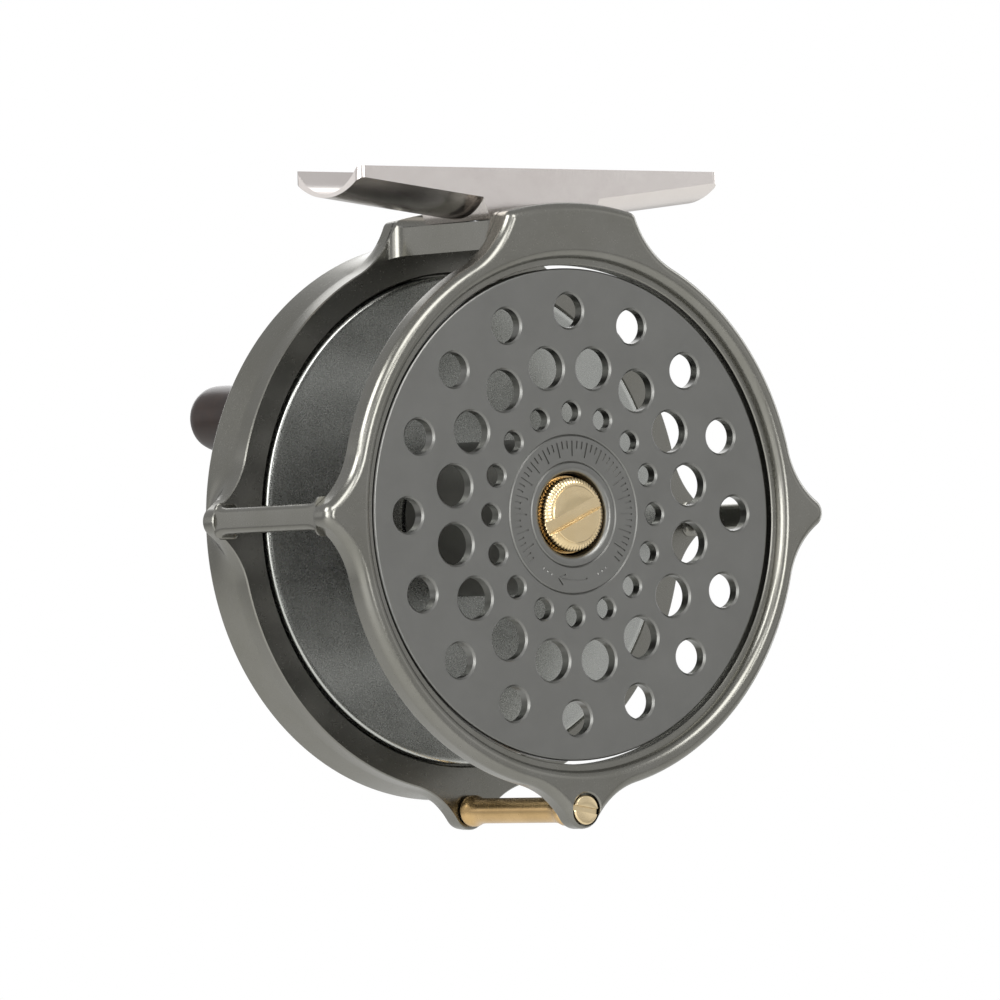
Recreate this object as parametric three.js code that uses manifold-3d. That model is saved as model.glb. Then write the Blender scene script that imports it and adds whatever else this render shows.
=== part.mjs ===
// Fly reel with raised pillars: a perforated drum turns inside an open frame, wound by a
// handle plate at the back, with a ball race and a click check in the housing between them.
// Millimetres, +Z up. The reel's axis runs along Y: the drum face is at the -Y side, the
// handle at the +Y side, and the foot is on top with its length along X. While it is built,
// the axis passes through x = 0, z = 0, and the drum face lies at y = 0. The finished group
// is then moved so that its origin is the middle of the foot's seat.

import * as THREE from 'three';
import { mergeVertices } from 'three/addons/utils/BufferGeometryUtils.js';
import Module from 'manifold-3d';

const wasm = await Module();
wasm.setup();

const TAU = 2 * Math.PI;
const DEG = Math.PI / 180;
const GAP = 0.3;                 // clearance left between pieces that touch

// ---- driving dimensions ----

// Frame: front ring, back plate and check housing, in one casting
const RING_FRONT = -1.85;        // front plane of the ring, proud of the drum face
const RING_BACK = 2.1;
const RING_RADIUS = 39.1;        // round outline between the lobes
const RING_STEP_RADIUS = 37.3;   // where the cove meets the front plane
const RING_LIP_RADIUS = 36.1;
const RING_LIP_Y = -0.45;
const BORE_RADIUS = 35.2;
const RING_ROUND = 1.2;          // rounding of the ring's outer edges
const PLATE_FRONT = 25.9;        // inner face of the back plate
const PLATE_BACK = 29.6;
const PLATE_CHAMFER = 0.5;
const HOUSING_RADIUS = 39.5;
const HOUSING_BACK = 34.4;
const HOUSING_SHOULDER = 1.4;
const CAVITY_RADIUS = 36.9;      // check housing, inside
const WEB_FRONT = 28.0;
const BOSS_RADIUS = 13.5;        // boss round the ball race
const BOSS_BORE = 11.3;
const BOSS_BACK = 31.9;

// Lobes of the frame's outline, each at its angle from +X
const SIDE_LOBE = { half: 0, centre: 41.7, tip: 2.2, fillet: 12 };
const BOTTOM_LOBE = { half: 0, centre: 41.55, tip: 2.75, fillet: 12 };
const TOP_LOBE = { half: 13.7 * DEG, centre: 42.6, tip: 1.4, fillet: 13.3 };

// Pillars and the bridge under the foot
const PILLAR_INNER = 39.8;
const PILLAR_OUTER = 43.5;
const PILLAR_HALF_HEIGHT = 1.85;
const PILLAR_FLARE = 1.6;
const BRIDGE_HALF = 12;
const BRIDGE_TOP = 41.55;

// Foot
const FOOT_MIDDLE_Y = 13.6;
const FOOT_HALF_LENGTH = 31.75;
const FOOT_HALF_WIDTH = 7.8;
const FOOT_TOP = 49.1;
const FOOT_TIP_HEIGHT = 4.15;
const FOOT_ROOT_HEIGHT = 6.7;
const FOOT_BELLY = 2.6;          // how far the rounded underside drops below its sides
const FOOT_CORNER = 2.6;
const TROUGH_RADIUS = 9.2;
const TROUGH_DEPTH = 3.6;
const FOOT_BLOCK_TOP_HALF = 10.6;
const FOOT_BLOCK_BOTTOM_HALF = 9.05;
const FOOT_SCREW_X = 5.5;

// Line roller between the bottom lobes
const ROLLER_Z = -41.6;
const ROLLER_RADIUS = 1.8;
const ROLLER_FLANGE_RADIUS = 2.25;
const ROLLER_BORE = 1.35;
const ROLLER_HEAD_RADIUS = 2.1;

// Drum
const DRUM_RADIUS = 34.65;
const DRUM_FACE_THICKNESS = 2.0;
const DRUM_BACK_RADIUS = 34.9;
const DRUM_BACK_FRONT = 25.3;
const DRUM_BACK_BACK = 26.9;
const ARBOR_RADIUS = 11;
const ARBOR_BORE = 9.4;
const HUB_HOLE_RADIUS = 5.8;
const HUB_RADIUS = 5.5;
const HOLE_RINGS = [
  { ring: 28.73, hole: 2.45, count: 16, start: 90, sides: 16 },
  { ring: 20.97, hole: 2.93, count: 16, start: 101.25, sides: 16 },
  { ring: 14.4, hole: 1.48, count: 16, start: 90, sides: 10 },
];

// Drum screw
const SCREW_RIM_RADIUS = 5.3;
const SCREW_FACE_RADIUS = 4.4;
const SCREW_FACE_Y = -0.7;
const SCREW_RIM_Y = 0.5;
const SCREW_SLOT = 1.8;
const SCREW_SLOT_ANGLE = 24;

// Spindle and handle plate
const SPINDLE_RADIUS = 3.5;
const SPINDLE_SQUARE = 5.4;
const HANDLE_PLATE_RADIUS = 36.5;
const HANDLE_PLATE_FRONT = 33.4;
const HANDLE_PLATE_BACK = 35.9;
const KNOB_X = -24.2;
const KNOB_Z = 15.4;
const KNOB_RADIUS = 4.7;
const KNOB_START = 37.7;
const KNOB_END = 54;
const PIN_RADIUS = 1.6;

// Ball race
const BALL_COUNT = 10;
const BALL_RADIUS = 1.2;
const BALL_CIRCLE = 8.2;
const BALL_Y = 30.4;

// Click check, to the +X side of the housing
const WHEEL_TEETH = 30;
const WHEEL_TIP = 16.6;
const WHEEL_ROOT = 15.5;
const WHEEL_BORE = 13.9;
const PAWL_X = 23.5;
const PAWL_TIP_X = 16.95;
const PAWL_TAIL_X = 27;
const PAWL_FRONT = 30.4;
const PAWL_BACK = 31.9;
const SPRING_POST_X = 29.4;
const REGULATOR_Y = 32.0;
const REGULATOR_HEAD = 2.1;
const REGULATOR_TIP_X = 33.6;

// ---- materials ----

const metal = (colour, roughness, metalness = 0.9) =>
  new THREE.MeshStandardMaterial({ color: colour, roughness, metalness });
const anodised = metal(0x787870, 0.45);
const darkAnodised = metal(0x5c5c56, 0.5);
const satinSilver = metal(0xd5d0cc, 0.35);
const polishedAlloy = metal(0x8f9290, 0.25);
const brightBrass = metal(0xd9b87c, 0.3);
const agedBrass = metal(0xa98a58, 0.35);
const steel = metal(0xb9bcc0, 0.25);
const brownResin = metal(0x3d3533, 0.35, 0);

// ---- geometry helpers ----

// The solid of a closed geometry, with its shared vertices merged and empty triangles left out
function toSolid(geometry) {
  const bare = new THREE.BufferGeometry();
  bare.setAttribute('position', geometry.getAttribute('position').clone());
  if (geometry.index) bare.setIndex(geometry.index.clone());
  const merged = mergeVertices(bare, 1e-4);
  const index = merged.index.array;
  const triangles = [];
  for (let i = 0; i < index.length; i += 3) {
    const [a, b, c] = [index[i], index[i + 1], index[i + 2]];
    if (a !== b && b !== c && c !== a) triangles.push(a, b, c);
  }
  return new wasm.Manifold(new wasm.Mesh({
    numProp: 3,
    vertProperties: new Float32Array(merged.getAttribute('position').array),
    triVerts: new Uint32Array(triangles),
  }));
}

function toGeometry(solid) {
  const mesh = solid.getMesh();
  const geometry = new THREE.BufferGeometry();
  geometry.setAttribute('position', new THREE.BufferAttribute(mesh.vertProperties, 3));
  geometry.setIndex(new THREE.BufferAttribute(mesh.triVerts, 1));
  geometry.computeVertexNormals();
  return geometry;
}

// Joins the first geometries and takes the others away from them
function carve(joined, removed = []) {
  let solid = toSolid(joined[0]);
  for (const geometry of joined.slice(1)) solid = solid.add(toSolid(geometry));
  for (const geometry of removed) solid = solid.subtract(toSolid(geometry));
  return toGeometry(solid);
}

// A turned piece about the Y axis; points are [radius, y], anticlockwise round the section
function turned(points, sides = 48) {
  return new THREE.LatheGeometry(points.map(([r, y]) => new THREE.Vector2(r, y)), sides);
}

// A turned ring or tube with a plain rectangular section
function tube(inner, outer, yStart, yEnd, sides = 48) {
  return turned([[inner, yStart], [outer, yStart], [outer, yEnd], [inner, yEnd], [inner, yStart]], sides);
}

// A solid cylinder along Y, standing at x, z
function rod(radius, yStart, yEnd, x = 0, z = 0, sides = 20) {
  const geometry = new THREE.CylinderGeometry(radius, radius, yEnd - yStart, sides);
  return geometry.translate(x, (yStart + yEnd) / 2, z);
}

// A flat piece with its outline in the XZ plane, from yStart to yEnd
function slab(points, yStart, yEnd, bevel = 0, bevelSegments = 1) {
  const options = {
    depth: yEnd - yStart - 2 * bevel,
    bevelEnabled: bevel > 0,
    bevelThickness: bevel,
    bevelSize: bevel,
    bevelOffset: -bevel,
    bevelSegments,
  };
  const geometry = new THREE.ExtrudeGeometry(new THREE.Shape(points), options);
  return geometry.rotateX(Math.PI / 2).translate(0, yEnd - bevel, 0);
}

// Points of an arc in the XZ plane, anticlockwise or clockwise, without its last point
function arc(x, z, radius, from, to, step = 5 * DEG) {
  const count = Math.max(2, Math.ceil(Math.abs(to - from) / step));
  return Array.from({ length: count }, (_, i) => {
    const angle = from + (to - from) * i / count;
    return new THREE.Vector2(x + radius * Math.cos(angle), z + radius * Math.sin(angle));
  });
}

// A closed skin through rings of points, each ring seen anticlockwise from the last ring's end
function loft(rings) {
  const count = rings[0].length;
  const positions = rings.flat().flatMap((p) => [p.x, p.y, p.z]);
  const index = [];
  for (let r = 0; r < rings.length - 1; r += 1) {
    for (let i = 0; i < count; i += 1) {
      const a = r * count + i;
      const b = r * count + (i + 1) % count;
      index.push(a, b, a + count, b, b + count, a + count);
    }
  }
  const last = (rings.length - 1) * count;
  for (let i = 1; i < count - 1; i += 1) {
    index.push(0, i + 1, i);
    index.push(last, last + i, last + i + 1);
  }
  const geometry = new THREE.BufferGeometry();
  geometry.setAttribute('position', new THREE.Float32BufferAttribute(positions, 3));
  geometry.setIndex(index);
  return geometry;
}

// ---- frame ----

// One lobe of the outline: a hollow fillet up from the round, the tip, and a fillet down again
function lobe(axis, { half, centre, tip, fillet }) {
  const reach = RING_RADIUS + fillet;
  const cosine = (reach ** 2 + centre ** 2 - (tip + fillet) ** 2) / (2 * reach * centre);
  const foot = half + Math.acos(cosine);
  const dx = centre * Math.cos(half) - reach * Math.cos(foot);
  const dz = reach * Math.sin(foot) - centre * Math.sin(half);
  const turn = Math.atan2(dz, dx);
  const corner = [centre * Math.cos(half), centre * Math.sin(half)];
  const hollow = [reach * Math.cos(foot), reach * Math.sin(foot)];
  const points = [
    ...arc(hollow[0], -hollow[1], fillet, Math.PI - foot, turn, 8 * DEG),
    ...arc(corner[0], -corner[1], tip, turn - Math.PI, -half, 22 * DEG),
    ...(half > 0 ? arc(0, 0, centre + tip, -half, half) : []),
    ...arc(corner[0], corner[1], tip, half, Math.PI - turn, 22 * DEG),
    ...arc(hollow[0], hollow[1], fillet, -turn, foot - Math.PI, 8 * DEG),
  ];
  const origin = new THREE.Vector2();
  return { start: axis - foot, end: axis + foot, points: points.map((p) => p.rotateAround(origin, axis)) };
}

// The frame's outline: a round with a lobe at each side, a broad one on top and one below
function frameOutline() {
  const lobes = [
    lobe(0, SIDE_LOBE),
    lobe(Math.PI / 2, TOP_LOBE),
    lobe(Math.PI, SIDE_LOBE),
    lobe(1.5 * Math.PI, BOTTOM_LOBE),
  ];
  return lobes.flatMap((here, i) => {
    const next = lobes[(i + 1) % lobes.length];
    const end = next.start + (i === lobes.length - 1 ? TAU : 0);
    return [...here.points, ...arc(0, 0, RING_RADIUS, here.end, end)];
  });
}

// A side pillar: a rounded bar that flares out where it meets both plates
function pillar(side) {
  const start = RING_BACK - 0.4;
  const end = PLATE_FRONT + 0.4;
  const length = end - start;
  const corner = 0.9;
  const stations = [0, 0.4, 0.7, 1.1, 1.6, 2.1, length - 2.1, length - 1.6, length - 1.1, length - 0.7,
    length - 0.4, length];
  const rings = stations.map((along) => {
    const into = Math.min(along, length - along) - 0.4;
    const rise = Math.min(Math.max(into, 0), PILLAR_FLARE);
    const flare = PILLAR_FLARE - Math.sqrt(PILLAR_FLARE ** 2 - (PILLAR_FLARE - rise) ** 2);
    const halfHeight = PILLAR_HALF_HEIGHT + flare;
    const inner = PILLAR_INNER - flare * 0.5;
    const middle = (inner + PILLAR_OUTER) / 2;
    const halfDepth = (PILLAR_OUTER - inner) / 2;
    const quarters = [[1, 1, 0], [-1, 1, 90], [-1, -1, 180], [1, -1, 270]];
    return quarters.flatMap(([u, v, from]) => [0, 45, 90].map((turn) => {
      const angle = (from + turn) * DEG;
      const x = middle + u * (halfDepth - corner) + corner * Math.cos(angle);
      const z = v * (halfHeight - corner) + corner * Math.sin(angle);
      return new THREE.Vector3(side * x, start + along, side * z);
    }));
  });
  return loft(rings.map((ring) => ring.reverse()));
}

function bridge() {
  const spread = Math.asin(BRIDGE_HALF / RING_RADIUS);
  const under = arc(0, 0, RING_RADIUS, Math.PI / 2 + spread, Math.PI / 2 - spread, 4 * DEG);
  const corners = [
    new THREE.Vector2(BRIDGE_HALF, RING_RADIUS * Math.cos(spread)),
    new THREE.Vector2(BRIDGE_HALF, BRIDGE_TOP),
    new THREE.Vector2(-BRIDGE_HALF, BRIDGE_TOP),
  ];
  return slab([...under, ...corners], RING_BACK - 0.4, PLATE_FRONT + 0.4);
}

function frame() {
  const outline = frameOutline();
  const shoulder = [0, 30, 60, 90].map((turn) => [
    HOUSING_RADIUS - HOUSING_SHOULDER + HOUSING_SHOULDER * Math.cos(turn * DEG),
    HOUSING_BACK - HOUSING_SHOULDER + HOUSING_SHOULDER * Math.sin(turn * DEG),
  ]);
  const housing = turned([[0, PLATE_FRONT + 0.7], [HOUSING_RADIUS, PLATE_FRONT + 0.7], ...shoulder,
    [0, HOUSING_BACK]], 72);
  const ringBore = turned([[0, -3], [RING_STEP_RADIUS, -3], [RING_STEP_RADIUS, RING_FRONT],
    [36.7, -1.65], [36.3, -1.2], [RING_LIP_RADIUS, RING_LIP_Y], [BORE_RADIUS, RING_LIP_Y],
    [BORE_RADIUS, WEB_FRONT], [0, WEB_FRONT]], 72);
  const cavity = turned([[BOSS_RADIUS, PLATE_BACK], [CAVITY_RADIUS, PLATE_BACK],
    [CAVITY_RADIUS, HOUSING_BACK + 1], [0, HOUSING_BACK + 1], [0, BOSS_BACK],
    [BOSS_RADIUS, BOSS_BACK], [BOSS_RADIUS, PLATE_BACK]], 72);
  return carve(
    [
      slab(outline, RING_FRONT, RING_BACK, RING_ROUND, 3),
      slab(outline, PLATE_FRONT, PLATE_BACK, PLATE_CHAMFER),
      housing, pillar(1), pillar(-1), bridge(),
    ],
    [
      ringBore, cavity,
      rod(BOSS_BORE, WEB_FRONT - 1, BOSS_BACK + 1, 0, 0, 48),
      rod(ROLLER_BORE, -3, PLATE_FRONT + 3, 0, ROLLER_Z),
      rod(ROLLER_HEAD_RADIUS + GAP, -3, -0.6, 0, ROLLER_Z, 24),
      rod(1.4, WEB_FRONT - 1, PLATE_BACK + 1, PAWL_X, 0, 12),
      rod(1.4, WEB_FRONT - 1, PLATE_BACK + 1, SPRING_POST_X, 0, 12),
      rod(1.5, 35, 41, 0, 0, 12).rotateZ(-Math.PI / 2).translate(0, REGULATOR_Y, 0),
      ...[-1, 1].map((side) => rod(1.7, 36, 44, 0, 0, 12).rotateX(Math.PI / 2)
        .translate(side * FOOT_SCREW_X, FOOT_MIDDLE_Y, 0)),
    ],
  );
}

// ---- foot ----

// Half of the foot's width at x: full, with rounded corners at the tips
function footHalfWidth(x) {
  const past = Math.max(0, Math.abs(x) - (FOOT_HALF_LENGTH - FOOT_CORNER));
  return FOOT_HALF_WIDTH - FOOT_CORNER + Math.sqrt(Math.max(0, FOOT_CORNER ** 2 - past ** 2));
}

// The arms of the foot: flat on top before the trough is cut, with a rounded, tapering underside
function footArms() {
  const bellyRadius = (FOOT_HALF_WIDTH ** 2 + FOOT_BELLY ** 2) / (2 * FOOT_BELLY);
  const taper = (FOOT_ROOT_HEIGHT - FOOT_TIP_HEIGHT) / (FOOT_HALF_LENGTH - FOOT_BLOCK_TOP_HALF);
  const halves = [FOOT_HALF_LENGTH, 31.6, 31.1, 30.3, FOOT_HALF_LENGTH - FOOT_CORNER, FOOT_BLOCK_TOP_HALF];
  const stations = [...halves.map((x) => -x), ...halves.reverse()];
  return loft(stations.map((x) => {
    const halfWidth = footHalfWidth(x);
    const height = FOOT_TIP_HEIGHT + taper * (FOOT_HALF_LENGTH - Math.abs(x));
    const lowest = FOOT_TOP - height;
    const across = Array.from({ length: 13 }, (_, i) => halfWidth * (i / 6 - 1));
    const under = across.map((y) => new THREE.Vector3(x, FOOT_MIDDLE_Y + y,
      lowest + bellyRadius - Math.sqrt(bellyRadius ** 2 - y ** 2)));
    const top = [halfWidth, -halfWidth].map((y) => new THREE.Vector3(x, FOOT_MIDDLE_Y + y, FOOT_TOP));
    return [...under, ...top];
  }));
}

function footBlock() {
  const points = [
    new THREE.Vector2(-FOOT_BLOCK_BOTTOM_HALF, BRIDGE_TOP + GAP),
    new THREE.Vector2(FOOT_BLOCK_BOTTOM_HALF, BRIDGE_TOP + GAP),
    new THREE.Vector2(FOOT_BLOCK_TOP_HALF, FOOT_TOP - 3.1),
    new THREE.Vector2(FOOT_BLOCK_TOP_HALF, FOOT_TOP),
    new THREE.Vector2(-FOOT_BLOCK_TOP_HALF, FOOT_TOP),
    new THREE.Vector2(-FOOT_BLOCK_TOP_HALF, FOOT_TOP - 3.1),
  ];
  return slab(points, FOOT_MIDDLE_Y - FOOT_HALF_WIDTH, FOOT_MIDDLE_Y + FOOT_HALF_WIDTH);
}

const seatZ = FOOT_TOP - TROUGH_DEPTH;

function foot() {
  const trough = rod(TROUGH_RADIUS, -40, 40, 0, 0, 64).rotateZ(Math.PI / 2)
    .translate(0, FOOT_MIDDLE_Y, seatZ + TROUGH_RADIUS);
  const screwHoles = [-1, 1].map((side) => {
    const hole = turned([[0, 40], [1.7, 40], [1.7, seatZ - 1.8], [2.9, seatZ - 0.5], [2.9, seatZ + 1],
      [0, seatZ + 1]], 20);
    return hole.rotateX(Math.PI / 2).translate(side * FOOT_SCREW_X, FOOT_MIDDLE_Y, 0);
  });
  return carve([footArms(), footBlock()], [trough, ...screwHoles]);
}

// A slotted countersunk screw, up through its point at z, its head at the seat
function footScrew(side) {
  const body = turned([[0, 40], [1.4, 40], [1.4, seatZ - 2.1], [2.55, seatZ - 0.8], [2.55, seatZ - 0.3],
    [0, seatZ - 0.3]], 20);
  const slot = new THREE.BoxGeometry(6, 0.7, 0.6).translate(0, seatZ - 0.3, 0);
  return carve([body], [slot.rotateY(Math.PI / 2)]).rotateX(Math.PI / 2)
    .translate(side * FOOT_SCREW_X, FOOT_MIDDLE_Y, 0);
}

// ---- line roller ----

function lineRoller() {
  const start = RING_BACK + 0.4;
  const end = PLATE_FRONT - 0.4;
  return turned([[ROLLER_BORE, start], [ROLLER_FLANGE_RADIUS, start], [ROLLER_FLANGE_RADIUS, start + 1.1],
    [ROLLER_RADIUS, start + 2.4], [ROLLER_RADIUS, end - 2.4], [ROLLER_FLANGE_RADIUS, end - 1.1],
    [ROLLER_FLANGE_RADIUS, end], [ROLLER_BORE, end], [ROLLER_BORE, start]], 20)
    .translate(0, 0, ROLLER_Z);
}

function rollerScrew() {
  const faceY = -1.7;
  const body = turned([[0, faceY], [ROLLER_HEAD_RADIUS, faceY], [ROLLER_HEAD_RADIUS, -0.9], [1.05, -0.9],
    [1.05, PLATE_FRONT + 2.6], [0, PLATE_FRONT + 2.6]], 20);
  const slot = new THREE.BoxGeometry(5, 0.9, 0.6).translate(0, faceY, 0);
  return carve([body], [slot]).rotateY(10 * DEG).translate(0, 0, ROLLER_Z);
}

// ---- drum ----

function drumFacePlate() {
  const edge = 0.35;
  const disc = turned([[0, 0], [DRUM_RADIUS - edge, 0], [DRUM_RADIUS, edge],
    [DRUM_RADIUS, DRUM_FACE_THICKNESS - edge], [DRUM_RADIUS - edge, DRUM_FACE_THICKNESS],
    [0, DRUM_FACE_THICKNESS]], 72);
  const holes = HOLE_RINGS.flatMap(({ ring, hole, count, start, sides }) =>
    Array.from({ length: count }, (_, i) => {
      const angle = start * DEG - i * TAU / count;
      return rod(hole, -1, DRUM_FACE_THICKNESS + 1, ring * Math.cos(angle), ring * Math.sin(angle), sides);
    }));
  return carve([disc], [rod(HUB_HOLE_RADIUS, -1, DRUM_FACE_THICKNESS + 1, 0, 0, 32), ...holes]);
}

// The back plate of the drum: a shallow dish inside a raised rim
function drumBackPlate() {
  return turned([[HUB_HOLE_RADIUS, DRUM_BACK_FRONT + 0.4], [24, DRUM_BACK_FRONT + 0.45],
    [33.2, DRUM_BACK_FRONT + 0.35], [33.9, DRUM_BACK_FRONT], [34.6, DRUM_BACK_FRONT],
    [DRUM_BACK_RADIUS, DRUM_BACK_FRONT + 0.3], [DRUM_BACK_RADIUS, DRUM_BACK_BACK],
    [HUB_HOLE_RADIUS, DRUM_BACK_BACK], [HUB_HOLE_RADIUS, DRUM_BACK_FRONT + 0.4]], 72);
}

function drumHub() {
  const square = new THREE.BoxGeometry(SPINDLE_SQUARE + 2 * GAP, 40, SPINDLE_SQUARE + 2 * GAP);
  return carve([rod(HUB_RADIUS, 1.7, DRUM_BACK_BACK, 0, 0, 32)], [square.translate(0, 14, 0)]);
}

function drumScrew() {
  const body = turned([[0, SCREW_FACE_Y], [SCREW_FACE_RADIUS, SCREW_FACE_Y],
    [SCREW_FACE_RADIUS, SCREW_RIM_Y], [SCREW_RIM_RADIUS, SCREW_RIM_Y], [SCREW_RIM_RADIUS, 1.4], [1.45, 1.4],
    [1.45, 11], [0, 11]], 36);
  const slot = new THREE.BoxGeometry(12, 1.8, SCREW_SLOT).translate(0, SCREW_FACE_Y, 0);
  return carve([body], [slot.rotateY(-SCREW_SLOT_ANGLE * DEG)]);
}

// ---- spindle, handle plate and handle ----

function spindle() {
  const squareStart = 3.5;
  const roundStart = DRUM_BACK_BACK + GAP;
  const square = new THREE.BoxGeometry(SPINDLE_SQUARE, roundStart + 1 - squareStart, SPINDLE_SQUARE);
  square.translate(0, (roundStart + 1 + squareStart) / 2, 0);
  return carve([square, rod(SPINDLE_RADIUS, roundStart, HANDLE_PLATE_BACK + 1.8, 0, 0, 28)],
    [rod(1.75, 2, 12, 0, 0, 16)]);
}

function handlePlate() {
  const edge = HANDLE_PLATE_RADIUS;
  const plate = turned([[0, HANDLE_PLATE_FRONT], [edge, HANDLE_PLATE_FRONT], [edge, HANDLE_PLATE_BACK - 1.2],
    [edge - 0.4, HANDLE_PLATE_BACK - 0.8], [edge - 6, HANDLE_PLATE_BACK - 0.2], [12, HANDLE_PLATE_BACK],
    [0, HANDLE_PLATE_BACK]], 72);
  return carve([plate], [
    rod(SPINDLE_RADIUS + GAP, 30, 40, 0, 0, 28),
    rod(PIN_RADIUS + GAP, 30, 40, KNOB_X, KNOB_Z, 16),
  ]);
}

function spindleNut() {
  const start = HANDLE_PLATE_BACK + GAP;
  return turned([[SPINDLE_RADIUS + GAP, start], [5.6, start], [5.6, start + 1.1], [5, start + 1.8],
    [SPINDLE_RADIUS + GAP, start + 1.8], [SPINDLE_RADIUS + GAP, start]], 28);
}

function handlePin() {
  const headStart = KNOB_END - 1.9;
  return turned([[0, HANDLE_PLATE_FRONT + 0.3], [PIN_RADIUS, HANDLE_PLATE_FRONT + 0.3],
    [PIN_RADIUS, headStart], [2.6, headStart], [2.6, headStart + 0.7], [1.6, headStart + 1.2],
    [0, headStart + 1.3]], 16).translate(KNOB_X, 0, KNOB_Z);
}

function handleCollar() {
  return tube(PIN_RADIUS + GAP, 4, HANDLE_PLATE_BACK + GAP, KNOB_START - GAP, 20)
    .translate(KNOB_X, 0, KNOB_Z);
}

// The handle: a slightly waisted grip with a rounded end and a sunk seat for the pin's head
function handleKnob() {
  const bore = PIN_RADIUS + GAP;
  const seat = 2.9;
  const seatY = KNOB_END - 2.2;
  return turned([[bore, KNOB_START], [4.2, KNOB_START], [4.55, KNOB_START + 0.5], [4.5, 43],
    [KNOB_RADIUS, 49.5], [KNOB_RADIUS, KNOB_END - 2], [4.2, KNOB_END - 0.8], [3.5, KNOB_END],
    [seat, KNOB_END], [seat, seatY], [bore, seatY], [bore, KNOB_START]], 24)
    .translate(KNOB_X, 0, KNOB_Z);
}

// ---- ball race ----

// Points of the ball groove's section, between two angles, as [radius, y]
function groove(from, to) {
  return Array.from({ length: 5 }, (_, i) => {
    const angle = (from + (to - from) * i / 4) * DEG;
    return [BALL_CIRCLE + (BALL_RADIUS + GAP) * Math.cos(angle), BALL_Y + (BALL_RADIUS + GAP) * Math.sin(angle)];
  });
}

function raceCup() {
  const outer = BOSS_BORE - GAP;
  const hollow = groove(60, -60);
  return turned([[9.2, 28.6], [outer, 28.6], [outer, 31.8], [9.2, 31.8], ...hollow, [9.2, 28.6]], 36);
}

function raceCone() {
  const bore = SPINDLE_RADIUS + GAP;
  const hollow = groove(240, 120);
  return turned([[bore, 28.6], [7.2, 28.6], ...hollow, [7.2, 32.2], [bore, 32.2], [bore, 28.6]], 36);
}

// A crown cage: a thin ring with a pocket for each ball, open towards the drum
function ballCage() {
  const ring = tube(7.75, 8.65, 28.9, 32.4, 60);
  const pockets = Array.from({ length: BALL_COUNT }, (_, i) => {
    const angle = i * TAU / BALL_COUNT;
    const width = 2 * (BALL_RADIUS + GAP);
    const pocket = new THREE.BoxGeometry(4, 3.8, width);
    return pocket.translate(BALL_CIRCLE, BALL_Y - 0.4, 0).rotateY(angle);
  });
  return carve([ring], pockets);
}

// ---- click check ----

function checkWheel() {
  const pitch = TAU / WHEEL_TEETH;
  const rim = Array.from({ length: WHEEL_TEETH }, (_, i) => [
    [WHEEL_ROOT, 0], [WHEEL_ROOT, 0.25], [WHEEL_TIP, 0.5], [WHEEL_TIP, 0.75],
  ].map(([radius, part]) => {
    const angle = (i + part) * pitch;
    return new THREE.Vector2(radius * Math.cos(angle), radius * Math.sin(angle));
  })).flat();
  return carve([slab(rim, 31, HANDLE_PLATE_FRONT - GAP)], [rod(WHEEL_BORE, 30, 34, 0, 0, 48)]);
}

// The pawl: a tongue that points at the wheel, a round boss and a flat tail for the spring
function checkPawl() {
  const boss = 2.3;
  const tail = 1.6;
  const tongue = 0.35;
  const points = [
    ...arc(PAWL_X, 0, boss, 225 * DEG, 315 * DEG, 15 * DEG),
    new THREE.Vector2(PAWL_X + 1.6, -tail),
    new THREE.Vector2(PAWL_TAIL_X, -tail),
    new THREE.Vector2(PAWL_TAIL_X, tail),
    new THREE.Vector2(PAWL_X + 1.6, tail),
    ...arc(PAWL_X, 0, boss, 45 * DEG, 135 * DEG, 15 * DEG),
    new THREE.Vector2(PAWL_TIP_X, tongue),
    new THREE.Vector2(PAWL_TIP_X, -tongue),
  ];
  return carve([slab(points, PAWL_FRONT, PAWL_BACK)], [rod(1.5, 29, 33, PAWL_X, 0, 16)]);
}

function post(x, shankTop, headRadius) {
  return turned([[0, WEB_FRONT + 0.3], [1.1, WEB_FRONT + 0.3], [1.1, shankTop], [headRadius, shankTop],
    [headRadius, shankTop + 0.7], [0, shankTop + 0.7]], 16).translate(x, 0, 0);
}

// A horseshoe of flat spring steel: two arms along the pawl's tail and a bend round its post
function checkSpring() {
  const inner = 2.45;
  const outer = 2.95;
  const bendX = 29.9;
  const armEnd = 24.6;
  const points = [
    ...arc(bendX, 0, outer, -Math.PI / 2, Math.PI / 2, 18 * DEG),
    new THREE.Vector2(bendX, outer),
    new THREE.Vector2(armEnd, outer),
    new THREE.Vector2(armEnd, inner),
    ...arc(bendX, 0, inner, Math.PI / 2, -Math.PI / 2, 18 * DEG),
    new THREE.Vector2(bendX, -inner),
    new THREE.Vector2(armEnd, -inner),
    new THREE.Vector2(armEnd, -outer),
  ];
  return slab(points, 30.3, 31.9);
}

// The regulator: a screw through the housing wall, with a ribbed thumb head outside, that
// bears on the bend of the spring
function regulatorScrew() {
  const ribs = 14;
  const headStart = HOUSING_RADIUS + 0.4;
  const headEnd = headStart + 2.6;
  const outline = Array.from({ length: 2 * ribs }, (_, i) => {
    const radius = REGULATOR_HEAD - (i % 2 ? 0.25 : 0);
    return new THREE.Vector2(radius * Math.cos(i * Math.PI / ribs), radius * Math.sin(i * Math.PI / ribs));
  });
  const head = slab(outline, headStart, headEnd);
  const slot = new THREE.BoxGeometry(6, 1.2, 0.7).translate(0, headEnd, 0);
  return carve([head, rod(1, REGULATOR_TIP_X, headStart + 0.5, 0, 0, 14)], [slot])
    .rotateZ(-Math.PI / 2).translate(0, REGULATOR_Y, 0);
}

// ---- assembly ----

const group = new THREE.Group();

function place(name, geometry, material, parent = group) {
  const mesh = new THREE.Mesh(geometry, material);
  mesh.name = name;
  parent.add(mesh);
  return mesh;
}

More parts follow.
